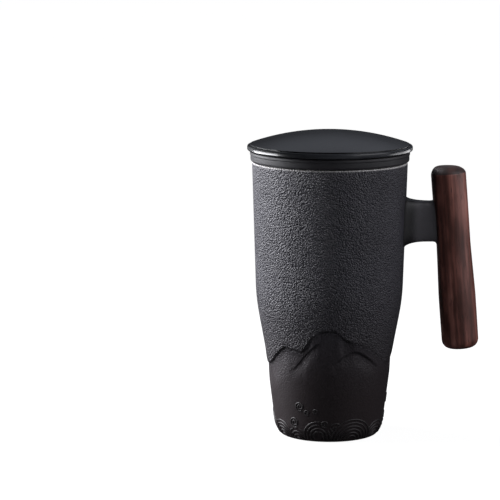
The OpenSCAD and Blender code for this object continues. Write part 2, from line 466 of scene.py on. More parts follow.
def grain_height(bench, place):
    """Rounded grains, packed like those of leather: high in their middles, low along their seams."""
    sockets = {"Vector": place, "Scale": WANDER_SCALE, "Detail": 1.0}
    wander = bench.node("ShaderNodeTexNoise", sockets, "Color")
    sockets = {0: wander, 1: [WANDER_MM] * 3, 2: place}
    bent = bench.node("ShaderNodeVectorMath", sockets, operation="MULTIPLY_ADD")
    sockets = {"Vector": bent, "Scale": 1 / PEBBLE_MM, "Smoothness": 0.25}
    return 1 - bench.node("ShaderNodeTexVoronoi", sockets, "Distance", feature="SMOOTH_F1")


def pebbled_stoneware(lug_root):
    material, bench = new_material("pebbled_stoneware")
    place = object_mm(bench)
    high = bench.node("ShaderNodeSeparateXYZ", {0: place}).out("Z")
    inside = attribute(bench, "inside")
    grain = grain_height(bench, place)
    from_lug = bench.node("ShaderNodeVectorMath", {0: place, 1: lug_root}, "Value", operation="DISTANCE")
    pebble = attribute(bench, "pebble")
    share = pebble * from_lug.ease(*LUG_FADE)
    drift = noise(place, DRIFT_MM, 3.0)
    upper = drift.ease(*NOISE_MIDDLE).mix(UPPER_DARK, UPPER_LIGHT)
    # Painted shade: the glaze darkens from the shoulder down towards the foot
    base = high.ease(*LOWER_FADE).mix(LOWER_SHADED, upper)
    crest = grain.ease(0.35, 0.75)
    # Painted shade in the seams and a painted highlight on the crests of the grains
    seams = (share * (1 - crest) * 0.25).mix(base, SEAM_SHADE)
    grains = (share * crest * 0.3).mix(seams, CREST_HIGHLIGHT)
    # Painted shade in the carved lines, where the step walls throw shadow
    carved = (attribute(bench, "carved") * 0.6).mix(grains, CARVED_SHADE)
    edge = attribute(bench, "edge")
    # The lip's pale line: worn glaze, made brighter as a painted highlight
    worn_and_highlit = edge.mix(carved, LIP_LINE)
    bare = attribute(bench, "clay").mix(worn_and_highlit, BARE_CLAY)
    matte = 0.16 * share * (1 - crest) + 0.10 * (1 - pebble)
    roughness = 0.32 + 0.08 * drift + matte - 0.18 * inside - 0.10 * edge
    height = grain * share + noise(place, UNEVEN_MM) * 0.12
    finish_surface(bench, bare, roughness, height, PEBBLE_DEPTH_MM)
    return material


print("pebble, mm:", PEBBLE_MM)

# %% Smooth stoneware
# The second colour is painted shade, for the lug's root and the lid's groove
SPECK, SHADE_TONE = (0.09, 0.09, 0.092), (0.007, 0.007, 0.008)
SATIN_DRIFT_MM, SPECK_MM, SATIN_DEPTH_MM = 11.0, 0.8, 0.12


def smooth_stoneware(name, dark, light, roughness, specular=0.5):
    """A satin glaze without pebble: faintly uneven, with a few pale specks, and painted dark as shade
    where the mesh marks it.
    """
    material, bench = new_material(name)
    place = object_mm(bench)
    drift = noise(place, SATIN_DRIFT_MM, 3.0)
    speck = noise(place, SPECK_MM)
    base = drift.ease(*NOISE_MIDDLE).mix(dark, light)
    specked = (speck.ease(0.62, 0.8) * 0.1).mix(base, SPECK)
    # Painted shade where the mesh marks it
    colour = (attribute(bench, "pool") * 0.95).mix(specked, SHADE_TONE)
    rough = roughness + 0.12 * drift + 0.04 * speck
    height = drift * 0.6 + speck * 0.05
    finish_surface(bench, colour, rough, height, SATIN_DEPTH_MM, specular)
    return material


print("speck, mm:", SPECK_MM)

# %% [markdown]
# The mug is one fired piece. Its outer wall carries a range of low hills, cut as soft steps: the wall
# drops by about a millimetre at each ridge line and comes back further down, deep in some stretches and
# barely in others. A fine step needs fine rows, but only there, so the rows of the mesh follow the
# ridges: two bundles of close rows run along the skyline and along the nearer slopes, and the rest are
# spread between them.

# %% Mug sizes
MUG_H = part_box("mug_body")[1].z / MM
LIP_R = 40.5
WALL = 3.6
LIP_ROUND = 1.0
SHOULDER = (38.3, 71.6)
WAIST = (33.5, 45.8)
HEEL = (28.35, 5.4)
HEEL_ROUND = 13.7
FOOT_R = 25.5
FOOT_ROUND = 2.0
FOOT_RING_W = 4.0
FOOT_RECESS = 1.8
FLOOR_Z = 6.8
FLOOR_ROUND = 7.0
SHOULDER_BLEND = 110.0
WAIST_BLEND = 90.0
MUG_COLUMNS = 640
RELIEF_LOW, RELIEF_HIGH = 9.0, 66.0
print("mug height, mm:", round(MUG_H, 1))

# %% Ridge lines
# As (degrees about the mug, height in mm), where 0 degrees faces the photograph's side
SKYLINE = [
    (-67.3, 40.5), (-55, 45.8), (-42, 51.1), (-36, 50.4), (-28.5, 50.0), (-24.5, 49.4), (-22.5, 50.6),
    (-19.3, 53.6), (-13.7, 57.6), (-8, 60.5), (1, 61), (6.8, 60.7), (9.5, 58.6), (12, 57), (19.1, 54.4),
    (28, 53.4), (38, 51), (52, 45), (64, 41), (76, 42), (88, 47), (97, 51), (108, 52), (118, 48.5),
    (130, 43.5), (143, 46), (152, 52), (163, 57.5), (172, 59), (183, 58.4), (192, 54), (204, 50.5),
    (215, 49), (226, 52.5), (236, 54), (247, 50), (262, 44), (280, 38.8)]
NEAR_SLOPES = [
    (-33, 40.5), (-26.5, 44.8), (-21.2, 48.4), (-14.5, 51.6), (-9.2, 54.6), (-2, 50), (4, 43), (9, 45.4),
    (14.5, 47.7), (20.6, 49.6), (27, 49), (32, 47.4), (39.8, 44.6), (48, 41), (70, 36), (92, 39),
    (104, 44), (116, 42), (134, 37), (150, 43), (166, 49), (178, 50), (190, 46), (210, 40), (228, 45),
    (240, 44), (256, 38), (285, 35), (315, 37)]
# How deep each line is carved along its way, as (degrees, share)
SKYLINE_SHARE = [
    (-67, 0.9), (-40, 0.8), (-25, 0.85), (-18, 0.7), (-14, 0.25), (-10, 0.3), (-7, 0.85), (5, 0.85),
    (7.5, 0.3), (10, 0.5), (13, 0.9), (18, 0.8), (23, 0.2), (30, 0.08), (58, 0.08), (70, 0.4), (95, 0.9),
    (115, 0.7), (135, 0.4), (160, 0.9), (185, 0.9), (205, 0.5), (230, 0.8), (260, 0.6)]
NEAR_SHARE = [
    (-40, 0), (-33, 0.5), (-26, 0.8), (-15, 0.8), (-9, 0.4), (-5, 0), (1, 0), (6, 0.5), (14, 0.7),
    (22, 0.8), (28, 1), (37, 1), (45, 0.4), (52, 0), (86, 0), (96, 0.8), (112, 0.8), (120, 0), (146, 0),
    (158, 0.9), (182, 0.9), (194, 0), (220, 0), (230, 0.9), (240, 0.8), (248, 0)]
STEP_DEPTH = 1.1
STEP_WIDTH = 1.5
STEP_RETURN = 18.0
NEAR_RETURN = 9.0
SHORT_RETURN = 3.0
RIDGE_GAP = 2.6


def ridge(points, degrees):
    """A value given at some degrees, such as a ridge's height, all round and with softened corners."""
    places, heights = np.array(points, float).T
    line = np.interp(degrees, places, heights, period=360)
    weights = np.exp(-np.linspace(-2, 2, 7) ** 2)
    padded = np.concatenate([line[-3:], line, line[:3]])
    return np.convolve(padded, weights / weights.sum(), mode="valid")


def eased(value, low, high):
    t = np.clip((value - low) / (high - low), 0, 1)
    return t * t * (3 - 2 * t)


def step_down(drop, share, longest):
    """Depth of a carved step at a distance below its ridge. With a low share it comes back sooner."""
    back = SHORT_RETURN + (longest - SHORT_RETURN) * share
    return share * eased(drop, 0, STEP_WIDTH) * (1 - eased(drop - STEP_WIDTH, 0, back))


degrees = np.linspace(0, 360, MUG_COLUMNS, endpoint=False)
skyline = ridge(SKYLINE, degrees)
near = np.minimum(ridge(NEAR_SLOPES, degrees), skyline - RIDGE_GAP)
sky_share, near_share = [ridge(shares, degrees) for shares in (SKYLINE_SHARE, NEAR_SHARE)]
print("skyline, mm:", skyline.min().round(1), "to", skyline.max().round(1))

# %% Mug profile
ROW_BELOW_LIP = 8.3
ring_in = FOOT_R - FOOT_ROUND - FOOT_RING_W
outer_path = rounded([
    (ring_in, 0, 0),
    (FOOT_R, 0, FOOT_ROUND),
    (*HEEL, HEEL_ROUND),
    (*WAIST, WAIST_BLEND),
    (*SHOULDER, SHOULDER_BLEND),
    (LIP_R, MUG_H, LIP_ROUND),
    (LIP_R - WALL, MUG_H, 0)], steps=12)
wall_only = outer_path[:-1]


def wall_r(z):
    """Radius of the mug's outer wall at a height, from the rounded foot to the lip."""
    return np.interp(z, wall_only[1:, 1], wall_only[1:, 0])


floor_r = float(wall_r(FLOOR_Z)) - WALL
# A row on the straight wall, so that the lip's rounding doesn't shade the whole inside
row_z = MUG_H - ROW_BELOW_LIP
row_r = float(np.interp(row_z, [SHOULDER[1], MUG_H], [SHOULDER[0], LIP_R])) - WALL
inner_path = rounded([
    (LIP_R, MUG_H, 0),
    (LIP_R - WALL, MUG_H, LIP_ROUND),
    (row_r, row_z, 0),
    (SHOULDER[0] - WALL, SHOULDER[1], SHOULDER_BLEND),
    (WAIST[0] - WALL, WAIST[1], WAIST_BLEND),
    (floor_r, FLOOR_Z, FLOOR_ROUND),
    (0, FLOOR_Z, 0)])
under_path = rounded([
    (0, FOOT_RECESS, 0),
    (ring_in, FOOT_RECESS, FOOT_RECESS / 2),
    (ring_in, 0, FOOT_RECESS / 3),
    (FOOT_R, 0, 0)], steps=5)
print("inside of the floor, mm across:", round(2 * floor_r, 1))

# %% Relief
ROW_MARGIN = 0.2
SLOPE_ROWS, STEP_ROWS, GAP_ROWS, SKY_ROWS = 22, 7, 7, 6
SKY_PART, NEAR_PART = 0.6, 0.8
# How far below each ridge the painted shade sits, and how wide it is
SHADE_DROP, SHADE_WIDTH = 0.6 * STEP_WIDTH, 0.5 * STEP_WIDTH


def between(low, high, count):
    """Rows of heights from low up to, and without, high."""
    share = (np.arange(count) / count)[:, None]
    return low + (high - low) * share


def step_shade(ridge_z, share):
    """How much painted shade darkens the foot of a carved step, where the step wall's shadow falls."""
    below = ridge_z - relief_z - SHADE_DROP
    return np.exp(-(below / SHADE_WIDTH) ** 2) * share


near_low, near_high = near - STEP_WIDTH - ROW_MARGIN, near + ROW_MARGIN
sky_low, sky_high = skyline - STEP_WIDTH - ROW_MARGIN, skyline + ROW_MARGIN
relief_z = np.concatenate([
    between(RELIEF_LOW, near_low, SLOPE_ROWS),
    between(near_low, near_high, STEP_ROWS),
    between(near_high, sky_low, GAP_ROWS),
    between(sky_low, sky_high, STEP_ROWS),
    between(sky_high, RELIEF_HIGH, SKY_ROWS)])
sky_step = step_down(skyline - relief_z, sky_share, STEP_RETURN)
near_step = step_down(near - relief_z, near_share, NEAR_RETURN)
both_steps = SKY_PART * sky_step + NEAR_PART * near_step
relief_r = wall_r(relief_z) - STEP_DEPTH * np.maximum(sky_step, both_steps)
carved_shade_share = np.maximum(step_shade(skyline, sky_share), step_shade(near, near_share))
print("deepest carving, mm:", (wall_r(relief_z) - relief_r).max().round(2))

# %% Mug wall
UPPER_ROW = 8.0


def flat_rows(path):
    """Rows of a plain profile, the same all round."""
    return [np.repeat(part[:, None], MUG_COLUMNS, axis=1) for part in path.T]


foot_rows = outer_path[1:][outer_path[1:, 1] < RELIEF_LOW]
upper_rows = filled(outer_path[outer_path[:, 1] > RELIEF_HIGH][:-1], UPPER_ROW)
upper_rows = np.concatenate([[[float(wall_r(RELIEF_HIGH)), RELIEF_HIGH]], upper_rows])
zones = {
    "under": flat_rows(under_path[1:-1]),
    "foot": flat_rows(foot_rows),
    "relief": (relief_r, relief_z),
    "upper": flat_rows(upper_rows),
    "inner": flat_rows(inner_path[1:-1])}
mug_r = np.concatenate([r for r, z in zones.values()])
mug_z = np.concatenate([z for r, z in zones.values()])
mug_mesh = skin("mug_wall", spun(mug_r, mug_z, MUG_COLUMNS), (0, 0, FOOT_RECESS), (0, 0, FLOOR_Z))
row_zone = np.concatenate([np.full(len(r), name) for name, (r, z) in zones.items()])
print("mug rows:", len(mug_r))

# %% Where the mug's glaze changes, and where shade and highlight are painted on it
LIP_LINE_DROP, LIP_LINE_W = 0.10, 0.42
HILL_FADE, PEBBLE_LOSS = (-1.0, 4.0), 0.72
FOOT_FADE, FOOT_PEBBLE = (14.0, 48.0), 0.35
CLAY_FADE = (0.15, 0.5)
LUG_Z = 112.6


def mark(mesh, name, rows, poles=(0, 0)):
    """Stores a value on every point of a mesh, row by row and then its poles, for other nodes to read."""
    values = np.concatenate([rows.ravel(), poles]).astype(np.float32)
    mesh.attributes.new(name, "FLOAT", "POINT").data.foreach_set("value", values)


inside_rows = np.repeat((row_zone == "inner")[:, None].astype(float), MUG_COLUMNS, axis=1)
mark(mug_mesh, "inside", inside_rows, [0, 1])
# Painted shade below the carved steps, stored as the carved attribute
carved_shade_rows = np.zeros_like(mug_r)
carved_shade_rows[row_zone == "relief"] = carved_shade_share
mark(mug_mesh, "carved", carved_shade_rows)
# A pale line along the lip: worn glaze, made brighter with a painted highlight
lip_line = np.exp(-((mug_z - MUG_H + LIP_LINE_DROP) / LIP_LINE_W) ** 2)
mark(mug_mesh, "edge", lip_line * (mug_r > LIP_R - 1.5 * LIP_ROUND))
below_hills = eased(skyline - mug_z, *HILL_FADE)
above_foot = FOOT_PEBBLE + (1 - FOOT_PEBBLE) * eased(mug_z, *FOOT_FADE)
mark(mug_mesh, "pebble", (1 - inside_rows) * (1 - PEBBLE_LOSS * below_hills) * above_foot)
mark(mug_mesh, "clay", 1 - eased(mug_z, *CLAY_FADE))
lug_root = (float(wall_r(LUG_Z)), 0.0, LUG_Z)
mug_wall = new_object("mug_wall", mug_mesh)
dress(mug_wall, "mug", "mug_stoneware", pebbled_stoneware(lug_root), "mug_body")

# %% [markdown]
# The lug is cast with the mug, so it grows out of the wall in a soft blend. It gets thinner on its way,
# and its end is hollowed to take the round grip. It is a loft: squared ellipses, each a little further
# out. In the blend every point is measured from the wall itself, so that the loft leaves the wall without
# a crease all round. A tenon goes on into the grip.

# %% Grip line and lug sizes
GRIP_X = 63.74
GRIP_TILT = math.radians(4.7)
GRIP_LEN = 96.2
GRIP_ABOVE = 29.0
GRIP_END_R, GRIP_END_LEN, GRIP_END_ROUND = 9.65, 29.0, 4.6
GRIP_NECK_R, GRIP_NECK_LEN = 8.95, 55.0
GRIP_TOP_R, CROWN_H, CROWN_IN, CROWN_ROUND, ARRIS = 9.1, 3.9, 1.0, 4.6, 0.8
GRIP_BLEND = 200.0
COPE_GAP = 0.2
LUG_H, LUG_T = 21.3, 11.0
LUG_BLEND = 11.0
SPREAD_UP, SPREAD_DOWN, SPREAD_SIDE = 2.2, 3.0, 4.0
GRIP_SPREAD, GRIP_SPREAD_LEN = 1.0, 2.0
LUG_THINNING = 1.5
LUG_POINTS = 96
LUG_SQUARENESS, TENON_SQUARENESS = 5.0, 12.0
TENON_H, TENON_T, TENON_PAST = 13.0, 6.4, 1.5
ROOT_SINK = 1.0
BLEND_ROWS, COPE_ROWS = 15, 9
BLEND_THINNING, UPPER_SPREAD = 0.7, 0.4
# Where the painted shade at the lug's root fades out, in mm from the wall
ROOT_SHADE_FROM, ROOT_SHADE_TO = 3.0, 7.5
print("lug, mm high and thick:", LUG_H, LUG_T)

# %% Lug sections
turn = 2 * math.pi * (np.arange(LUG_POINTS) + 0.5) / LUG_POINTS


def squared_ellipse(half_y, top, low, squareness):
    """Points of a rounded section about the lug's middle height: y and z."""
    power = 2 / squareness
    side, rise = [np.sign(x) * np.abs(x) ** power for x in (np.cos(turn), np.sin(turn))]
    return half_y * side, LUG_Z + (top - low) / 2 + (top + low) / 2 * rise


def lug_section(wall_share, grip_share, along):
    """A section at a share of the way from the wall to the grip, where the lug gets thinner."""
    grow = GRIP_SPREAD * grip_share
    return squared_ellipse(
        LUG_T / 2 + SPREAD_SIDE * wall_share - LUG_THINNING * along,
        LUG_H / 2 + SPREAD_UP * wall_share + UPPER_SPREAD * grow,
        LUG_H / 2 + SPREAD_DOWN * wall_share + grow,
        LUG_SQUARENESS)


def wall_x(y, z):
    return np.sqrt(wall_r(z) ** 2 - y ** 2)


def grip_face_x(y, z):
    """Where the grip's near face is, at a point of the lug's end."""
    along = (z - LUG_Z) / math.cos(GRIP_TILT)
    from_end = GRIP_LEN - GRIP_ABOVE + along
    radius = np.interp(from_end, [GRIP_NECK_LEN, GRIP_LEN], [GRIP_NECK_R, GRIP_TOP_R])
    axis_x = GRIP_X - (z - LUG_Z) * math.tan(GRIP_TILT)
    return axis_x - np.sqrt(radius ** 2 - y ** 2) / math.cos(GRIP_TILT)


def lug_ring(x, y, z):
    return np.stack([np.broadcast_to(x, y.shape), y, z], axis=1)


print("points in a section:", LUG_POINTS)

# %% Side lug
# Lighter than the mug's glaze: painted light on the lug's front face
LUG_DARK, LUG_LIGHT = (0.070, 0.068, 0.075), (0.084, 0.081, 0.090)

blend = np.radians(np.linspace(0, 90, BLEND_ROWS))
y, z = lug_section(1, 0, 0)
lug_rings = [lug_ring(wall_x(y, z) - ROOT_SINK, y, z)]
for a in blend:
    y, z = lug_section(1 - math.sin(a), 0, BLEND_THINNING * (1 - math.cos(a)))
    lug_rings.append(lug_ring(wall_x(y, z) + LUG_BLEND * (1 - math.cos(a)), y, z))
for a in np.radians(np.linspace(0, 90, COPE_ROWS)):
    y, z = lug_section(0, 1 - math.cos(a), 1)
    lug_rings.append(lug_ring(grip_face_x(y, z) - COPE_GAP - GRIP_SPREAD_LEN * (1 - math.sin(a)), y, z))
y, z = squared_ellipse(TENON_T / 2, TENON_H / 2, TENON_H / 2, TENON_SQUARENESS)
tenon_end = GRIP_X + TENON_PAST
lug_rings.append(lug_ring(grip_face_x(y, z) - COPE_GAP, y, z))
lug_rings.append(lug_ring(tenon_end, y, z))
first_pole = (lug_rings[0][:, 0].min(), 0, LUG_Z)
lug_mesh = skin("side_lug", np.array(lug_rings), first_pole, (tenon_end, 0, LUG_Z))
# Painted shadow at the lug's root, where the mug's body shades it
root_shade_rows = np.zeros(len(lug_rings))
root_shade_rows[0] = 1
root_shade_rows[1:BLEND_ROWS + 1] = 1 - eased(LUG_BLEND * (1 - np.cos(blend)), ROOT_SHADE_FROM, ROOT_SHADE_TO)
mark(lug_mesh, "pool", np.repeat(root_shade_rows, LUG_POINTS), [1, 0])
lug_mesh.set_sharp_from_angle(angle=math.radians(50))
lug_glaze = smooth_stoneware("lug_glaze", LUG_DARK, LUG_LIGHT, roughness=0.42)
side_lug = new_object("side_lug", lug_mesh)
dress(side_lug, "mug", "mug_stoneware", lug_glaze, "mug_body")

# %% [markdown]
# The grip is a turned rod of dark oiled wood. Its grain runs along its own leaning axis, so a Mapping
# node turns the coordinates upright first. Long stretched noise gives the streaks, a shorter one the
# paler patches and a much finer one the pores. The two ends are darker and duller, because end grain
# soaks up more oil. The upper end is a level crown above a fine arris, though the rod leans. A slow
# ripple of a tenth of a millimetre takes the machined look away. The mortise is cut with a Boolean,
# because a slot in a spun rod follows no ring.

# %% Oiled wood
WOOD_STOPS = [
    (0.34, (0.035, 0.011, 0.007)),
    (0.47, (0.120, 0.040, 0.029)),
    (0.58, (0.290, 0.107, 0.082)),
    (0.72, (0.52, 0.225, 0.185))]
STREAK_MM, BAND_MM, PATCH_MM, PORE_MM = 2.6, 7.0, 6.0, 0.55
STREAK_STRETCH, PATCH_STRETCH, PORE_STRETCH = 0.045, 0.3, 0.10
WOOD_DEPTH_MM = 0.12
PORE, END_GRAIN = (0.010, 0.005, 0.004), (0.010, 0.005, 0.005)


def stretched(place, share):
    """Coordinates squeezed along the grain, so that a noise on them is stretched."""
    return place.bench.node("ShaderNodeMapping", {"Vector": place, "Scale": (1.0, 1.0, share)})


def oiled_wood():
    material, bench = new_material("oiled_dark_wood")
    place = object_mm(bench)
    sockets = {"Vector": place, "Location": (GRIP_X, 0.0, LUG_Z), "Rotation": (0.0, -GRIP_TILT, 0.0)}
    upright = bench.node("ShaderNodeMapping", sockets, vector_type="TEXTURE")
    long_grain = stretched(upright, STREAK_STRETCH)
    streak = noise(long_grain, STREAK_MM, 4.0, 0.6)
    band = noise(long_grain, BAND_MM)
    patch = noise(stretched(upright, PATCH_STRETCH), PATCH_MM)
    pore = noise(stretched(upright, PORE_STRETCH), PORE_MM)
    grain = streak * 0.5 + band * 0.2 + patch * 0.3
    tone = bench.node("ShaderNodeValToRGB", {"Fac": grain}, "Color", stops=WOOD_STOPS)
    pores = pore.ease(0.60, 0.74)
    grained = (pores * 0.7).mix(tone, PORE)
    along = bench.node("ShaderNodeSeparateXYZ", {0: upright}).out("Z")
    crown, foot = GRIP_ABOVE - CROWN_H, GRIP_LEN - GRIP_ABOVE
    end_grain = along.ease(crown + 0.1, crown + 0.6) + (0 - along).ease(foot - 1.2, foot - 0.2)
    colour = (end_grain * 0.85).mix(grained, END_GRAIN)
    roughness = 0.34 + 0.22 * streak + 0.14 * pores + 0.14 * end_grain
    height = streak * 0.5 - pores * 0.5
    finish_surface(bench, colour, roughness, height, WOOD_DEPTH_MM, specular=0.65)
    return material


print("streak, mm:", STREAK_MM)

# %% Wooden grip
GRIP_COLUMNS = 128
GRIP_ROW = 1.4
RIPPLE = 0.10
# Each ripple as (lobes round the rod, turn along a millimetre, start), in radians
RIPPLES = [(3, 0.07, 0.0), (2, -0.11, 1.0)]


def lean(points):
    """Takes the upright grip, which starts at height 0, to its leaning place, with a level top."""
    x, y, z = np.moveaxis(points, -1, 0)
    level = eased(z, GRIP_LEN - CROWN_H, GRIP_LEN)
    z = z - (GRIP_LEN - GRIP_ABOVE)
    cos, sin = math.cos(GRIP_TILT), math.sin(GRIP_TILT)
    return np.stack([GRIP_X + cos * x - sin * z, y, LUG_Z + sin * x * (1 - level) + cos * z], axis=-1)


grip_path = filled(rounded([
    (0, 0, 0),
    (GRIP_END_R, 0, GRIP_END_ROUND),
    (GRIP_END_R, GRIP_END_LEN, GRIP_BLEND),
    (GRIP_NECK_R, GRIP_NECK_LEN, GRIP_BLEND),
    (GRIP_TOP_R, GRIP_LEN - CROWN_H, ARRIS),
    (GRIP_TOP_R - CROWN_IN, GRIP_LEN, CROWN_ROUND),
    (0, GRIP_LEN, 0)], steps=10), GRIP_ROW)
upright = spun(grip_path[1:-1, 0], grip_path[1:-1, 1], GRIP_COLUMNS)
around = np.arctan2(upright[..., 0], -upright[..., 1])
height = upright[..., 2]
swells = [np.sin(lobes * around + twist * height + start) for lobes, twist, start in RIPPLES]
ripple = RIPPLE * sum(swells) / len(RIPPLES)
upright[..., :2] *= (1 + ripple / GRIP_END_R)[..., None]
grip_poles = lean(np.array([[0, 0, 0], [0, 0, GRIP_LEN]], float))
grip_mesh = skin("wooden_grip_rod", lean(upright), *grip_poles)
wooden_rod = new_object("wooden_grip_rod", grip_mesh)
print("grip rows:", len(upright))

# %% Mortise
GLUE = 0.3


def box_mesh(name, low, high):
    xs, ys, zs = [[a * MM, b * MM] for a, b in zip(low, high)]
    points = [(x, y, z) for x in xs for y in ys for z in zs]
    faces = [(0, 1, 3, 2), (4, 6, 7, 5), (0, 4, 5, 1), (2, 3, 7, 6), (0, 2, 6, 4), (1, 5, 7, 3)]
    return plain_mesh(name, points, faces=faces)


def applied_mesh(piece):
    """A plain mesh of a piece with its modifiers applied, which are then removed."""
    graph = bpy.context.evaluated_depsgraph_get()
    mesh = bpy.data.meshes.new_from_object(piece.evaluated_get(graph))
    piece.modifiers.clear()
    return mesh


half_t, half_h = TENON_T / 2 + GLUE, TENON_H / 2 + GLUE
mortise_low = (GRIP_X - 2 * GRIP_END_R, -half_t, LUG_Z - half_h)
mortise_high = (tenon_end + GLUE, half_t, LUG_Z + half_h)
mortise = new_object("mortise", box_mesh("mortise", mortise_low, mortise_high))
cut = wooden_rod.modifiers.new("mortise", "BOOLEAN")
cut.operation = "DIFFERENCE"
cut.solver = "EXACT"
cut.object = mortise
wooden_rod.data = applied_mesh(wooden_rod)
bpy.data.objects.remove(mortise)
wooden_rod.data.set_sharp_from_angle(angle=math.radians(40))
dress(wooden_rod, "mug", "dark_wood", oiled_wood(), "wooden_grip")

# %% [markdown]
# The bed of adhesive around the tenon is hidden in the joint, and its CAD solid is right as it is. It
# still gets a cured, slightly cloudy finish, for whoever takes the joint apart.


# %% Adhesive
AMBER, CLOUDY = (0.42, 0.31, 0.16), (0.62, 0.50, 0.30)
CLOUD_MM, CLOUD_DEPTH_MM = 2.0, 0.05


def cured_adhesive():
    material, bench = new_material("cured_adhesive")
    place = object_mm(bench)
    cloud = noise(place, CLOUD_MM, 3.0)
    colour = cloud.ease(*NOISE_MIDDLE).mix(AMBER, CLOUDY)
    finish_surface(bench, colour, 0.30 + 0.2 * cloud, cloud, CLOUD_DEPTH_MM)
    return material


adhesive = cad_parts["grip_adhesive"]
adhesive.data.materials.clear()
adhesive.data.materials.append(cured_adhesive())
print("adhesive dressed")

# %% [markdown]
# The infuser is a cast cup with a thick rim, full of strainer holes in its floor and lower wall. The cup
# is a spun profile. A bead runs along the top of its rim, and the rim meets the mug's lip only further
# in, so that a thin shadow parts the two. The holes repeat in rows and rings, so Geometry Nodes place a
# cutter at each of them and take the cutters away from the cup.

# %% Infuser basket
RIM_R, RIM_ROUND, RIM_TOP_ROUND = 41.6, 1.1, 0.825
RIM_BEAD_H, RIM_BEAD_OUT, RIM_BEAD_ROUND = 1.8, 0.3, 0.25
SEAT_IN, SHADOW_GAP = 2.6, 0.45
BASKET_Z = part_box("infuser_basket")[0].z / MM
RIM_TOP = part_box("infuser_basket")[1].z / MM
BASKET_TOP_R, BASKET_END_R = 36.4, 31.68
BASKET_WALL, BASKET_ROUND = 2.6, 9.0
BASKET_COLUMNS, BASKET_ROW = 240, 8.0
MOUTH_R = BASKET_TOP_R - BASKET_WALL

basket_path = filled(rounded([
    (0, BASKET_Z, 0),
    (BASKET_END_R, BASKET_Z, BASKET_ROUND),
    (BASKET_TOP_R, MUG_H, 0),
    (RIM_R - SEAT_IN, MUG_H, 0),
    (RIM_R - SEAT_IN, MUG_H + SHADOW_GAP, 0),
    (RIM_R - RIM_BEAD_OUT, MUG_H + SHADOW_GAP, RIM_ROUND),
    (RIM_R - RIM_BEAD_OUT, RIM_TOP - RIM_BEAD_H, RIM_BEAD_ROUND),
    (RIM_R, RIM_TOP - RIM_BEAD_H + RIM_BEAD_OUT, RIM_BEAD_ROUND),
    (RIM_R, RIM_TOP, RIM_TOP_ROUND),
    (MOUTH_R, RIM_TOP, RIM_ROUND),
    (BASKET_END_R - BASKET_WALL, BASKET_Z + BASKET_WALL, BASKET_ROUND - BASKET_WALL),
    (0, BASKET_Z + BASKET_WALL, 0)]), BASKET_ROW)
basket = new_object("strainer_basket", spun_solid("strainer_basket", basket_path, BASKET_COLUMNS))
print("basket depth, mm:", round(RIM_TOP - BASKET_Z, 1))


# %% Geometry Nodes helpers
def new_tree(name, inputs):
    """A Geometry Nodes tree with named inputs, as name: socket type. Returns its bench and input node."""
    tree = bpy.data.node_groups.new(name, "GeometryNodeTree")
    tree.interface.new_socket("Geometry", in_out="INPUT", socket_type="NodeSocketGeometry")
    tree.interface.new_socket("Geometry", in_out="OUTPUT", socket_type="NodeSocketGeometry")
    for label, kind in inputs.items():
        tree.interface.new_socket(label, in_out="INPUT", socket_type="NodeSocket" + kind)
    bench = Bench(tree)
    return bench, bench.node("NodeGroupInput")


def end_tree(bench, shape, material):
    """Realize Instances, Set Material, output: the export keeps no instances."""
    real = bench.node("GeometryNodeRealizeInstances", {0: shape})
    painted = bench.node("GeometryNodeSetMaterial", {"Geometry": real, "Material": material})
    bench.node("NodeGroupOutput", {0: painted})


def grow(piece, tree, values):
    """Runs a tree on a piece and keeps the result as its plain mesh."""
    modifier = piece.modifiers.new(tree.name, "NODES")
    modifier.node_group = tree
    for item in tree.interface.items_tree:
        if item.in_out == "INPUT" and item.name in values:
            modifier[item.identifier] = values[item.name]
    piece.data = applied_mesh(piece)


print("tree helpers ready")

# %% Strainer holes
HOLE_D, HOLE_SIDES = 2.0, 20
HOLE_ROWS, HOLES_PER_ROW, ROW_PITCH = 5, 20, 6.5
FLOOR_RINGS, RING_PITCH, RING_HOLES = 3, 6.0, 6
BASKET_DARK, BASKET_LIGHT = (0.020, 0.020, 0.022), (0.028, 0.028, 0.031)


def strainer_tree():
    """Takes one round cutter away from the cup at every point of a cloud, along the point's aim."""
    bench, given = new_tree("strainer_holes", {
        "Hole Radius": "Float", "Cutter Length": "Float", "Sides": "Int",
        "Places": "Object", "Material": "Material"})
    places = bench.node("GeometryNodeObjectInfo", {"Object": given.out("Places")}, "Geometry")
    aim = bench.node("GeometryNodeInputNamedAttribute", {"Name": "aim"}, data_type="FLOAT_VECTOR")
    turned = bench.node("FunctionNodeAlignRotationToVector", {"Vector": aim}, axis="Z")
    cutter = bench.node("GeometryNodeMeshCylinder", {
        "Vertices": given.out("Sides"), "Radius": given.out("Hole Radius"),
        "Depth": given.out("Cutter Length")})
    cutters = bench.node("GeometryNodeInstanceOnPoints", {
        "Points": places, "Instance": cutter, "Rotation": turned})
    real = bench.node("GeometryNodeRealizeInstances", {0: cutters})
    sockets = {"Mesh 1": given.out("Geometry"), "Mesh 2": real}
    cup = bench.node("GeometryNodeMeshBoolean", sockets, operation="DIFFERENCE", solver="EXACT")
    end_tree(bench, cup, given.out("Material"))
    return bench.tree


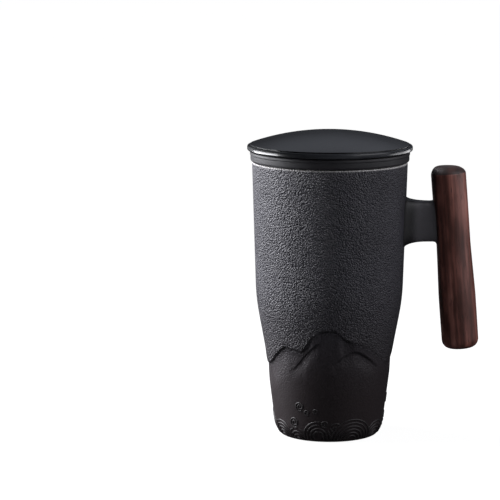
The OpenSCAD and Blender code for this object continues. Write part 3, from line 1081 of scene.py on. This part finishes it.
def hole_places():
    """Points for the cutters, each with the way that it aims."""
    points, aims = [], []
    first = BASKET_Z + BASKET_ROUND + HOLE_D
    for row in range(HOLE_ROWS):
        z = first + row * ROW_PITCH
        r = np.interp(z, [BASKET_Z, MUG_H], [BASKET_END_R, BASKET_TOP_R]) - BASKET_WALL / 2
        for k in range(HOLES_PER_ROW):
            a = 2 * math.pi * (k + (row % 2) / 2) / HOLES_PER_ROW
            points.append((r * math.cos(a), r * math.sin(a), z))
            aims.append((math.cos(a), math.sin(a), 0))
    for count in range(FLOOR_RINGS + 1):
        holes = max(1, RING_HOLES * count)
        r = count * RING_PITCH
        for k in range(holes):
            a = 2 * math.pi * k / holes
            points.append((r * math.cos(a), r * math.sin(a), BASKET_Z + BASKET_WALL / 2))
            aims.append((0, 0, 1))
    mesh = plain_mesh("hole_places", (np.array(points) * MM).tolist())
    mesh.attributes.new("aim", "FLOAT_VECTOR", "POINT").data.foreach_set("vector", np.array(aims).ravel())
    return new_object("hole_places", mesh)


basket_glaze = smooth_stoneware("basket_glaze", BASKET_DARK, BASKET_LIGHT, roughness=0.40, specular=0.4)
places = hole_places()
grow(basket, strainer_tree(), {
    "Hole Radius": HOLE_D / 2 * MM, "Cutter Length": 3 * BASKET_WALL * MM, "Sides": HOLE_SIDES,
    "Places": places, "Material": basket_glaze})
bpy.data.objects.remove(places)
basket.data.set_sharp_from_angle(angle=math.radians(35))
dress(basket, "infuser", "infuser_stoneware", basket_glaze, "infuser_basket")

# %% [markdown]
# The lid is a shallow dome with an upright edge band, and a ring under it keeps it from sliding off. A
# fine groove parts the band from the dome, and the same thin shadow as at the lip runs under the band.
# The lid has the smoothest glaze of the set, a little blue in the light. Its profile runs from the middle
# of the hollow underside, round the ring and the band, to the top of the dome.

# %% Domed lid
LID_R, EDGE_H, EDGE_ROUND = 43.0, 3.4, 0.8
DOME_R, STEP_H, STEP_ROUND = 41.5, 0.30, 0.21
GROOVE, GROOVE_W = 0.45, 0.3
BEAD_ROUND, LID_SEAT_IN = 0.8, 4.0
LID_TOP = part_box("domed_lid")[1].z / MM
EDGE_TOP = RIM_TOP + EDGE_H
DOME_RISE = LID_TOP - EDGE_TOP - STEP_H
DOME_T, DOME_STEPS, HOLLOW_STEPS = 5.0, 40, 16
PLUG_H, PLUG_T, PLUG_PLAY = 5.0, 3.0, 0.6
LID_COLUMNS, LID_ROW = 256, 3.0
LID_DARK, LID_LIGHT = (0.035, 0.038, 0.043), (0.048, 0.051, 0.058)
plug_r = MOUTH_R - PLUG_PLAY
plug_in_r = plug_r - PLUG_T
hollow_rise = DOME_RISE * (plug_in_r / DOME_R) ** 2
hollow = dome_path(plug_in_r, hollow_rise, LID_TOP - DOME_T, HOLLOW_STEPS)
dome = dome_path(DOME_R, DOME_RISE, LID_TOP, DOME_STEPS)[::-1]
lid_edge = rounded([
    (*hollow[-1], 0),
    (plug_in_r, RIM_TOP - PLUG_H, EDGE_ROUND),
    (plug_r, RIM_TOP - PLUG_H, EDGE_ROUND),
    (plug_r, RIM_TOP, 0),
    (LID_R - LID_SEAT_IN, RIM_TOP, 0),
    (LID_R - LID_SEAT_IN, RIM_TOP + SHADOW_GAP, 0),
    (LID_R, RIM_TOP + SHADOW_GAP, EDGE_ROUND),
    (LID_R, EDGE_TOP, BEAD_ROUND),
    (DOME_R, EDGE_TOP - GROOVE, 0),
    (DOME_R, EDGE_TOP + STEP_H, STEP_ROUND),
    (*dome[1], 0)])
lid_path = np.concatenate([hollow[:-1], filled(lid_edge, LID_ROW), dome[2:]])
lid_mesh = spun_solid("lid_dome", lid_path, LID_COLUMNS)
lid_r, lid_z = lid_path[1:-1].T
# Painted shade in the groove between the band and the dome
in_groove = (abs(lid_r - DOME_R) < GROOVE_W) & (lid_z > RIM_TOP) & (lid_z < EDGE_TOP + STEP_H)
mark(lid_mesh, "pool", np.repeat(in_groove.astype(float), LID_COLUMNS))
lid_mesh.set_sharp_from_angle(angle=math.radians(50))
lid_glaze = smooth_stoneware("lid_glaze", LID_DARK, LID_LIGHT, roughness=0.16)
lid = new_object("lid_dome", lid_mesh)
dress(lid, "lid", "lid_stoneware", lid_glaze, "domed_lid")


# %% Light on the lid
def link_light(light, piece, state):
    """Lets a light shine on one piece only (INCLUDE), or on all but that piece (EXCLUDE)."""
    pieces = bpy.data.collections.new(light.name + "_pieces")
    pieces.objects.link(piece)
    pieces.collection_objects[0].light_linking.link_state = state
    light.light_linking.receiver_collection = pieces


for light in (left_lamp, rim_lamp):
    link_light(light, lid, "EXCLUDE")
for light in (low_window, low_rim):
    link_light(light, lid, "INCLUDE")
print("lights linked to", lid.name)

# %% [markdown]
# Around the foot runs a traditional band of waves: fans of rings that rise behind one another, with curls
# of spray above them. They are raised lines that follow the wall, so they are drawn flat, as strips of
# points in millimetres along and up the wall, and Geometry Nodes copy them round, bend them onto the wall
# and give them their round section. A fan hides what lies behind it, so each strip is first cut where a
# nearer shape covers it.

# %% Wave strips
REPEATS = 3
WALL_REF_R = 28.6
# One third of the band, nearest fan first: degrees round the mug, height, radius, rings
FANS = [(26, 0.5, 11.8, 6), (-11, 3.4, 8.0, 4), (60, 0.8, 8.6, 5), (-36, 0.6, 6.4, 4), (7.5, 6.2, 4.4, 3)]
# Curls of spray: degrees round the mug, height, radius, turns
CURLS = [(-30, 19.1, 2.6, 1.9), (-37.6, 10.2, 2.9, 1.9), (-3.7, 10.4, 2.0, 1.6), (-22.3, 16.2, 1.6, 1.3),
         (-13.2, 17.2, 1.4, 1.3)]
RING_STEP = 1.75
LOWEST = 1.2
CURL_CLEAR = 0.9
CURL_START, CURL_WIND, CURL_MEAN = -1.2, 0.86, 0.6
FAN_PAST = 0.5
STRIP_STEP = 0.7
third = 2 * math.pi * WALL_REF_R / REPEATS


def spot(degrees_round, height):
    """A place on the flat strip, given in degrees round the mug and a height."""
    return math.radians(degrees_round) * WALL_REF_R, height


def arc_strip(centre, radius, start, end):
    count = max(4, round(abs(end - start) * radius / STRIP_STEP))
    a = np.linspace(start, end, count)
    return np.stack([centre[0] + radius * np.cos(a), centre[1] + radius * np.sin(a)], axis=1)


def curl_strip(centre, radius, turns):
    """A spiral that winds in clockwise from its lower right."""
    count = round(turns * 2 * math.pi * radius * CURL_MEAN / STRIP_STEP) + 8
    t = np.linspace(0, 1, count)
    a = CURL_START - turns * 2 * math.pi * t
    r = radius * (1 - CURL_WIND * t)
    return np.stack([centre[0] + r * np.cos(a), centre[1] + r * np.sin(a)], axis=1)


def uncovered(strip, covers):
    """The runs of a strip that lie above the foot and outside every covering disc."""
    shown = strip[:, 1] > LOWEST
    for centre, radius in covers:
        shown &= np.linalg.norm(strip - np.array(centre), axis=1) > radius
    changes = np.flatnonzero(shown[1:] != shown[:-1]) + 1
    runs = np.split(np.arange(len(strip)), changes)
    return [strip[run] for run in runs if shown[run[0]] and len(run) > 2]


strips, covers = [], []
for degrees_round, height, radius, turns in CURLS:
    strips.append(curl_strip(spot(degrees_round, height), radius, turns).tolist())
    covers.append((spot(degrees_round, height), radius + CURL_CLEAR))
for degrees_round, height, radius, rings in FANS:
    centre = spot(degrees_round, height)
    for ring in range(rings):
        arc = arc_strip(centre, radius - ring * RING_STEP, -FAN_PAST, math.pi + FAN_PAST)
        strips += uncovered(arc, covers)
    covers += [((centre[0] + step, height), radius) for step in (-third, 0, third)]
print("strips in a third of the band:", len(strips))

# %% Wave band
LINE_R, LINE_SINK, LINE_SIDES = 0.46, 0.10, 8
# The same dark as the painted shade on the mug's lower wall
WAVE_DARK, WAVE_LIGHT = (0.018, 0.0155, 0.016), (0.026, 0.022, 0.023)


def wave_tree():
    """Copies flat strips round the mug, bends them onto its wall and gives them a round section."""
    bench, given = new_tree("wave_band", {
        "Repeats": "Int", "Flat Radius": "Float", "Sink": "Float",
        "Line Radius": "Float", "Material": "Material"})
    lines = bench.node("GeometryNodeMeshToCurve", {"Mesh": given.out("Geometry")})
    sockets = {"Geometry": lines, "Amount": given.out("Repeats")}
    copies = bench.node("GeometryNodeDuplicateElements", sockets, domain="SPLINE")
    flat = bench.node("ShaderNodeSeparateXYZ", {0: bench.node("GeometryNodeInputPosition")})
    up = flat.out("Y")
    step = copies.out("Duplicate Index") * (2 * math.pi) / given.out("Repeats")
    angle = flat.out("X") / given.out("Flat Radius") + step
    wall = bench.node("GeometryNodeInputNamedAttribute", {"Name": "wall_radius"}, data_type="FLOAT")
    radius = wall - given.out("Sink")
    place = bench.node("ShaderNodeCombineXYZ", {
        "X": radius * flat.math("SINE", angle), "Y": 0 - radius * flat.math("COSINE", angle), "Z": up})
    bent = bench.node("GeometryNodeSetPosition", {"Geometry": copies, "Position": place})
    section = bench.node("GeometryNodeCurvePrimitiveCircle", {
        "Resolution": LINE_SIDES, "Radius": given.out("Line Radius")})
    tubes = bench.node("GeometryNodeCurveToMesh", {
        "Curve": bent, "Profile Curve": section, "Fill Caps": True})
    smooth = bench.node("GeometryNodeSetShadeSmooth", {0: tubes, "Shade Smooth": True})
    end_tree(bench, smooth, given.out("Material"))
    return bench.tree


points, edges = [], []
for strip in strips:
    edges += [(len(points) + i, len(points) + i + 1) for i in range(len(strip) - 1)]
    points += [(x * MM, y * MM, 0) for x, y in strip]
strip_mesh = plain_mesh("wave_lines", points, edges)
mark(strip_mesh, "wall_radius", wall_r(np.array(points)[:, 1] / MM) * MM, [])
wave_glaze = smooth_stoneware("wave_glaze", WAVE_DARK, WAVE_LIGHT, roughness=0.42)
waves = new_object("wave_lines", strip_mesh)
grow(waves, wave_tree(), {
    "Repeats": REPEATS, "Flat Radius": WALL_REF_R * MM, "Sink": LINE_SINK * MM,
    "Line Radius": LINE_R * MM, "Material": wave_glaze})
dress(waves, "mug", "mug_stoneware", wave_glaze)
